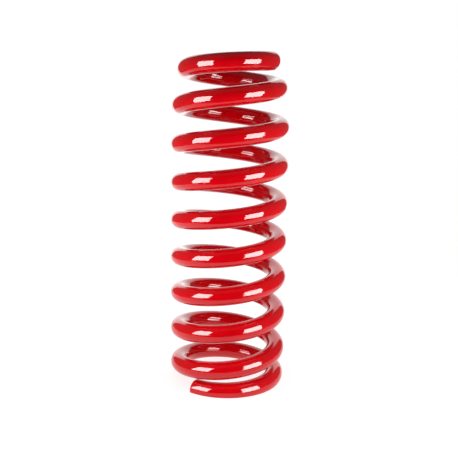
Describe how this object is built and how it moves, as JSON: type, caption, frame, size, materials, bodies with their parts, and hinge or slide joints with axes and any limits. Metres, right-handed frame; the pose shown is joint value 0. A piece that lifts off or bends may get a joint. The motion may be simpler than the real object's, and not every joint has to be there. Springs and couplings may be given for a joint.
{
  "type": "coil spring",
  "caption": "Right-hand helical suspension spring of round steel bar in red gloss paint, with a closed, flat-ground lower end and an open upper end that spirals in.",
  "frame": {"origin": "centre of the flat-ground lower seat plane, on the coil axis", "axes": "+Z along the coil axis, from the ground lower end to the open upper end; -Y is the front, where the ground end coil is at its lowest behind its tip; the bar rises anticlockwise seen from +Z"},
  "size_m": [0.117, 0.117, 0.3318],
  "materials": {
    "red_powder_coat": "high-gloss red powder coat"
  },
  "bodies": {
    "lower_end": {"lower_tip": "red_powder_coat", "coil_1_right": "red_powder_coat", "coil_1_back": "red_powder_coat", "coil_1_left": "red_powder_coat", "coil_2_front": "red_powder_coat"},
    "coil_2_right": {"coil_2_right": "red_powder_coat"},
    "coil_2_back": {"coil_2_back": "red_powder_coat"},
    "coil_2_left": {"coil_2_left": "red_powder_coat"},
    "coil_3_front": {"coil_3_front": "red_powder_coat"},
    "coil_3_right": {"coil_3_right": "red_powder_coat"},
    "coil_3_back": {"coil_3_back": "red_powder_coat"},
    "coil_3_left": {"coil_3_left": "red_powder_coat"},
    "coil_4_front": {"coil_4_front": "red_powder_coat"},
    "coil_4_right": {"coil_4_right": "red_powder_coat"},
    "coil_4_back": {"coil_4_back": "red_powder_coat"},
    "coil_4_left": {"coil_4_left": "red_powder_coat"},
    "coil_5_front": {"coil_5_front": "red_powder_coat"},
    "coil_5_right": {"coil_5_right": "red_powder_coat"},
    "coil_5_back": {"coil_5_back": "red_powder_coat"},
    "coil_5_left": {"coil_5_left": "red_powder_coat"},
    "coil_6_front": {"coil_6_front": "red_powder_coat"},
    "coil_6_right": {"coil_6_right": "red_powder_coat"},
    "coil_6_back": {"coil_6_back": "red_powder_coat"},
    "coil_6_left": {"coil_6_left": "red_powder_coat"},
    "coil_7_front": {"coil_7_front": "red_powder_coat"},
    "coil_7_right": {"coil_7_right": "red_powder_coat"},
    "coil_7_back": {"coil_7_back": "red_powder_coat"},
    "coil_7_left": {"coil_7_left": "red_powder_coat"},
    "coil_8_front": {"coil_8_front": "red_powder_coat"},
    "coil_8_right": {"coil_8_right": "red_powder_coat"},
    "coil_8_back": {"coil_8_back": "red_powder_coat"},
    "coil_8_left": {"coil_8_left": "red_powder_coat"},
    "coil_9_front": {"coil_9_front": "red_powder_coat"},
    "coil_9_right": {"coil_9_right": "red_powder_coat"},
    "upper_end": {"coil_9_back": "red_powder_coat", "coil_9_left": "red_powder_coat", "upper_tip": "red_powder_coat"}
  },
  "joints": [
    {"name": "compression", "type": "slide", "parent": "lower_end", "child": "coil_2_right", "axis": [0, 0, -1], "range_m": [0, 0.0046], "stiffness_N_per_m": 4000000},
    {"name": "compression_coil_2_back", "type": "slide", "parent": "coil_2_right", "child": "coil_2_back", "axis": [0, 0, -1], "range_m": [0, 0.0046], "stiffness_N_per_m": 4000000},
    {"name": "compression_coil_2_left", "type": "slide", "parent": "coil_2_back", "child": "coil_2_left", "axis": [0, 0, -1], "range_m": [0, 0.0046], "stiffness_N_per_m": 4000000},
    {"name": "compression_coil_3_front", "type": "slide", "parent": "coil_2_left", "child": "coil_3_front", "axis": [0, 0, -1], "range_m": [0, 0.0046], "stiffness_N_per_m": 4000000},
    {"name": "compression_coil_3_right", "type": "slide", "parent": "coil_3_front", "child": "coil_3_right", "axis": [0, 0, -1], "range_m": [0, 0.0046], "stiffness_N_per_m": 4000000},
    {"name": "compression_coil_3_back", "type": "slide", "parent": "coil_3_right", "child": "coil_3_back", "axis": [0, 0, -1], "range_m": [0, 0.0046], "stiffness_N_per_m": 4000000},
    {"name": "compression_coil_3_left", "type": "slide", "parent": "coil_3_back", "child": "coil_3_left", "axis": [0, 0, -1], "range_m": [0, 0.0046], "stiffness_N_per_m": 4000000},
    {"name": "compression_coil_4_front", "type": "slide", "parent": "coil_3_left", "child": "coil_4_front", "axis": [0, 0, -1], "range_m": [0, 0.0046], "stiffness_N_per_m": 4000000},
    {"name": "compression_coil_4_right", "type": "slide", "parent": "coil_4_front", "child": "coil_4_right", "axis": [0, 0, -1], "range_m": [0, 0.0046], "stiffness_N_per_m": 4000000},
    {"name": "compression_coil_4_back", "type": "slide", "parent": "coil_4_right", "child": "coil_4_back", "axis": [0, 0, -1], "range_m": [0, 0.0046], "stiffness_N_per_m": 4000000},
    {"name": "compression_coil_4_left", "type": "slide", "parent": "coil_4_back", "child": "coil_4_left", "axis": [0, 0, -1], "range_m": [0, 0.0046], "stiffness_N_per_m": 4000000},
    {"name": "compression_coil_5_front", "type": "slide", "parent": "coil_4_left", "child": "coil_5_front", "axis": [0, 0, -1], "range_m": [0, 0.0046], "stiffness_N_per_m": 4000000},
    {"name": "compression_coil_5_right", "type": "slide", "parent": "coil_5_front", "child": "coil_5_right", "axis": [0, 0, -1], "range_m": [0, 0.0046], "stiffness_N_per_m": 4000000},
    {"name": "compression_coil_5_back", "type": "slide", "parent": "coil_5_right", "child": "coil_5_back", "axis": [0, 0, -1], "range_m": [0, 0.0046], "stiffness_N_per_m": 4000000},
    {"name": "compression_coil_5_left", "type": "slide", "parent": "coil_5_back", "child": "coil_5_left", "axis": [0, 0, -1], "range_m": [0, 0.0046], "stiffness_N_per_m": 4000000},
    {"name": "compression_coil_6_front", "type": "slide", "parent": "coil_5_left", "child": "coil_6_front", "axis": [0, 0, -1], "range_m": [0, 0.0046], "stiffness_N_per_m": 4000000},
    {"name": "compression_coil_6_right", "type": "slide", "parent": "coil_6_front", "child": "coil_6_right", "axis": [0, 0, -1], "range_m": [0, 0.0046], "stiffness_N_per_m": 4000000},
    {"name": "compression_coil_6_back", "type": "slide", "parent": "coil_6_right", "child": "coil_6_back", "axis": [0, 0, -1], "range_m": [0, 0.0046], "stiffness_N_per_m": 4000000},
    {"name": "compression_coil_6_left", "type": "slide", "parent": "coil_6_back", "child": "coil_6_left", "axis": [0, 0, -1], "range_m": [0, 0.0046], "stiffness_N_per_m": 4000000},
    {"name": "compression_coil_7_front", "type": "slide", "parent": "coil_6_left", "child": "coil_7_front", "axis": [0, 0, -1], "range_m": [0, 0.0046], "stiffness_N_per_m": 4000000},
    {"name": "compression_coil_7_right", "type": "slide", "parent": "coil_7_front", "child": "coil_7_right", "axis": [0, 0, -1], "range_m": [0, 0.0046], "stiffness_N_per_m": 4000000},
    {"name": "compression_coil_7_back", "type": "slide", "parent": "coil_7_right", "child": "coil_7_back", "axis": [0, 0, -1], "range_m": [0, 0.0046], "stiffness_N_per_m": 4000000},
    {"name": "compression_coil_7_left", "type": "slide", "parent": "coil_7_back", "child": "coil_7_left", "axis": [0, 0, -1], "range_m": [0, 0.0046], "stiffness_N_per_m": 4000000},
    {"name": "compression_coil_8_front", "type": "slide", "parent": "coil_7_left", "child": "coil_8_front", "axis": [0, 0, -1], "range_m": [0, 0.0046], "stiffness_N_per_m": 4000000},
    {"name": "compression_coil_8_right", "type": "slide", "parent": "coil_8_front", "child": "coil_8_right", "axis": [0, 0, -1], "range_m": [0, 0.0046], "stiffness_N_per_m": 4000000},
    {"name": "compression_coil_8_back", "type": "slide", "parent": "coil_8_right", "child": "coil_8_back", "axis": [0, 0, -1], "range_m": [0, 0.0046], "stiffness_N_per_m": 4000000},
    {"name": "compression_coil_8_left", "type": "slide", "parent": "coil_8_back", "child": "coil_8_left", "axis": [0, 0, -1], "range_m": [0, 0.0046], "stiffness_N_per_m": 4000000},
    {"name": "compression_coil_9_front", "type": "slide", "parent": "coil_8_left", "child": "coil_9_front", "axis": [0, 0, -1], "range_m": [0, 0.0046], "stiffness_N_per_m": 4000000},
    {"name": "compression_coil_9_right", "type": "slide", "parent": "coil_9_front", "child": "coil_9_right", "axis": [0, 0, -1], "range_m": [0, 0.0046], "stiffness_N_per_m": 4000000},
    {"name": "compression_upper_end", "type": "slide", "parent": "coil_9_right", "child": "upper_end", "axis": [0, 0, -1], "range_m": [0, 0.0046], "stiffness_N_per_m": 4000000}
  ],
  "couplings": [
    {"joint": "compression_coil_2_back", "follows": "compression", "ratio": 1},
    {"joint": "compression_coil_2_left", "follows": "compression", "ratio": 1},
    {"joint": "compression_coil_3_front", "follows": "compression", "ratio": 1},
    {"joint": "compression_coil_3_right", "follows": "compression", "ratio": 1},
    {"joint": "compression_coil_3_back", "follows": "compression", "ratio": 1},
    {"joint": "compression_coil_3_left", "follows": "compression", "ratio": 1},
    {"joint": "compression_coil_4_front", "follows": "compression", "ratio": 1},
    {"joint": "compression_coil_4_right", "follows": "compression", "ratio": 1},
    {"joint": "compression_coil_4_back", "follows": "compression", "ratio": 1},
    {"joint": "compression_coil_4_left", "follows": "compression", "ratio": 1},
    {"joint": "compression_coil_5_front", "follows": "compression", "ratio": 1},
    {"joint": "compression_coil_5_right", "follows": "compression", "ratio": 1},
    {"joint": "compression_coil_5_back", "follows": "compression", "ratio": 1},
    {"joint": "compression_coil_5_left", "follows": "compression", "ratio": 1},
    {"joint": "compression_coil_6_front", "follows": "compression", "ratio": 1},
    {"joint": "compression_coil_6_right", "follows": "compression", "ratio": 1},
    {"joint": "compression_coil_6_back", "follows": "compression", "ratio": 1},
    {"joint": "compression_coil_6_left", "follows": "compression", "ratio": 1},
    {"joint": "compression_coil_7_front", "follows": "compression", "ratio": 1},
    {"joint": "compression_coil_7_right", "follows": "compression", "ratio": 1},
    {"joint": "compression_coil_7_back", "follows": "compression", "ratio": 1},
    {"joint": "compression_coil_7_left", "follows": "compression", "ratio": 1},
    {"joint": "compression_coil_8_front", "follows": "compression", "ratio": 1},
    {"joint": "compression_coil_8_right", "follows": "compression", "ratio": 1},
    {"joint": "compression_coil_8_back", "follows": "compression", "ratio": 1},
    {"joint": "compression_coil_8_left", "follows": "compression", "ratio": 1},
    {"joint": "compression_coil_9_front", "follows": "compression", "ratio": 1},
    {"joint": "compression_coil_9_right", "follows": "compression", "ratio": 1},
    {"joint": "compression_upper_end", "follows": "compression", "ratio": 1}
  ]
}
